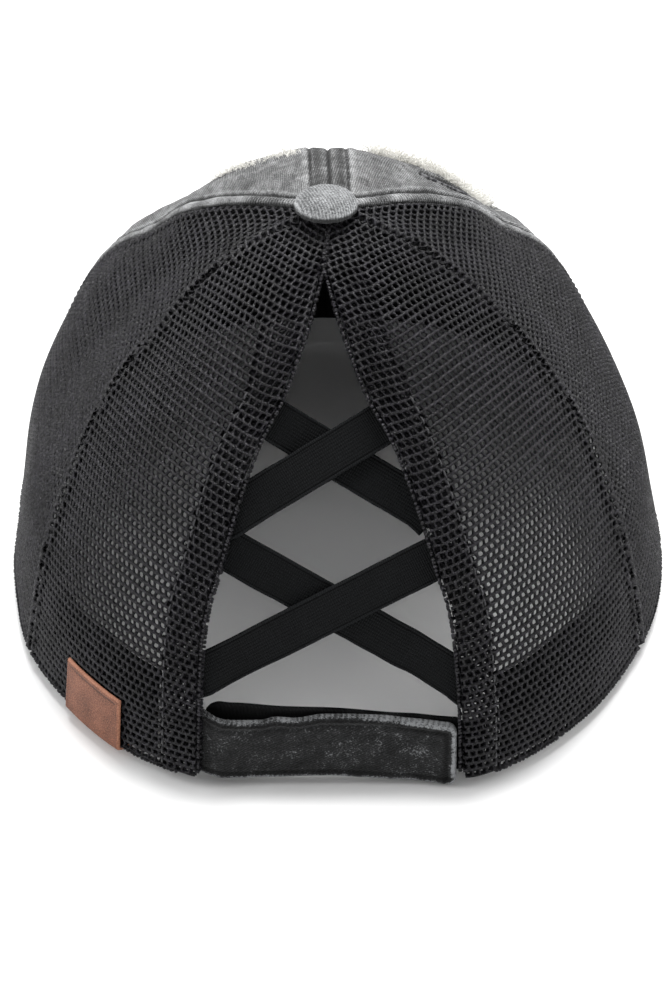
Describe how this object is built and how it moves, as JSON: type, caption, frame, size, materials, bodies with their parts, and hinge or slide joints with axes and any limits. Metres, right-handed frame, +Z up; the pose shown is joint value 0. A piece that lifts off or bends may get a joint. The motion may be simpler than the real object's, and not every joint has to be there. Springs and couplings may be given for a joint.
{
  "type": "ponytail baseball cap",
  "caption": "Ponytail baseball cap with twill front panels, net sides and back, a long back opening crossed by elastic bands, and a strap closure.",
  "frame": {"origin": "middle of the cap's bounding box, on the surface that the cap rests on", "axes": "+Y toward the brim, +X to the wearer's right, +Z up through the button"},
  "size_m": [0.1692, 0.2608, 0.1162],
  "materials": {
    "washed_twill": "stone-washed grey cotton twill, matte",
    "dark_twill": "dark washed cotton twill with worn light edges, matte",
    "button_twill": "light grey washed twill, matte",
    "mesh_cloth": "dark grey polyester net, slightly glossy",
    "elastic": "black ribbed elastic, matte",
    "black_tape": "black brushed tape, matte",
    "leather": "brown smooth leather, matte"
  },
  "bodies": {
    "root": {"front_panel_right": "washed_twill", "front_panel_left": "washed_twill", "side_panel_right": "mesh_cloth", "side_panel_left": "mesh_cloth", "back_panel_right": "mesh_cloth", "back_panel_left": "mesh_cloth", "button": "button_twill", "brim": "washed_twill", "sweatband": "black_tape", "outer_strap": "dark_twill", "inner_strap": "black_tape", "upper_front_band": "elastic", "upper_back_band": "elastic", "lower_back_band": "elastic", "lower_front_band": "elastic", "label": "leather"}
  },
  "joints": []
}
